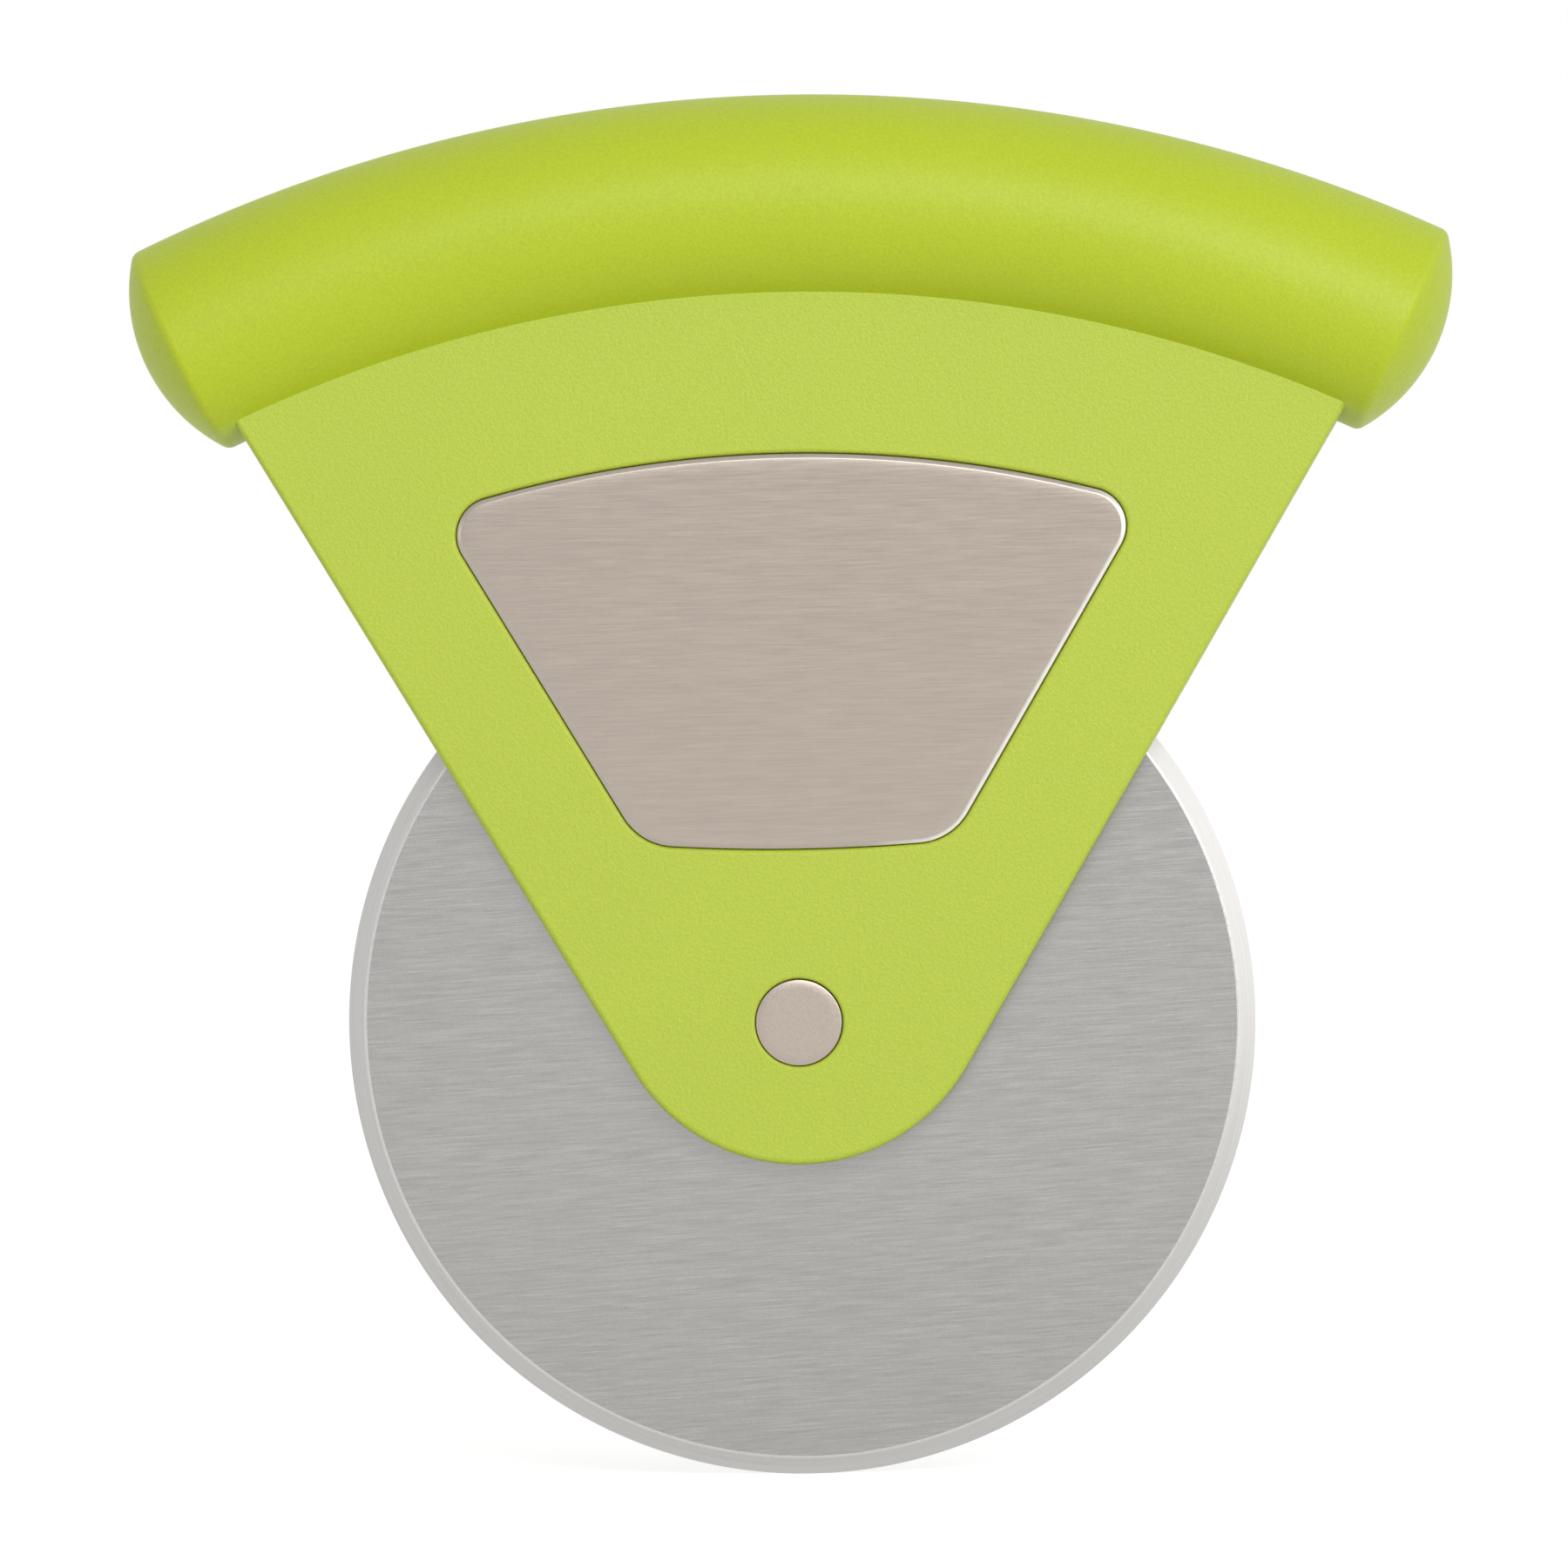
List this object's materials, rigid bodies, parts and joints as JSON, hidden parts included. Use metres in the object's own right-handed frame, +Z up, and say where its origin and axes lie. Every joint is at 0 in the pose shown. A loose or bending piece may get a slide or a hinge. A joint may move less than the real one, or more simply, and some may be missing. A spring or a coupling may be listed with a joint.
{
  "type": "rolling pizza cutter",
  "caption": "Rolling pizza cutter: a bevelled steel wheel turns in the nose of a slice-shaped plastic handle with a curved palm grip and inset steel plates.",
  "frame": {"origin": "bottom middle of the bounding box, which is the lowest point of the cutting edge", "axes": "+Z up from the wheel to the grip, X along the grip, -Y towards the front that the picture shows; the axle runs along Y at z = 37.5 mm"},
  "size_m": [0.1094, 0.018, 0.114],
  "materials": {
    "handle_plastic": "fine spark-eroded grain",
    "plate_steel": "satin, brushed sideways",
    "wheel_steel": "brushed faces with a ground bevel",
    "rivet_steel": "satin",
    "axle_steel": "turned",
    "bush_brass": "turned",
    "washer_nylon": "plain",
    "foam_pad": "closed-cell foam tape"
  },
  "bodies": {
    "handle": {"front_shell": "handle_plastic", "rear_shell": "handle_plastic", "front_plate": "plate_steel", "rear_plate": "plate_steel", "front_plate_pad": "foam_pad", "rear_plate_pad": "foam_pad", "axle_sleeve": "axle_steel", "front_washer": "washer_nylon", "rear_washer": "washer_nylon", "rivet_pin": "rivet_steel", "rivet_socket": "rivet_steel", "shell_screws": "axle_steel"},
    "wheel": {"cutting_wheel": "wheel_steel", "wheel_bush": "bush_brass"}
  },
  "joints": [
    {"name": "wheel_spin", "type": "hinge", "parent": "handle", "child": "wheel", "pos_m": [0, 0, 0.0375], "axis": [0, 1, 0], "continuous": true}
  ]
}
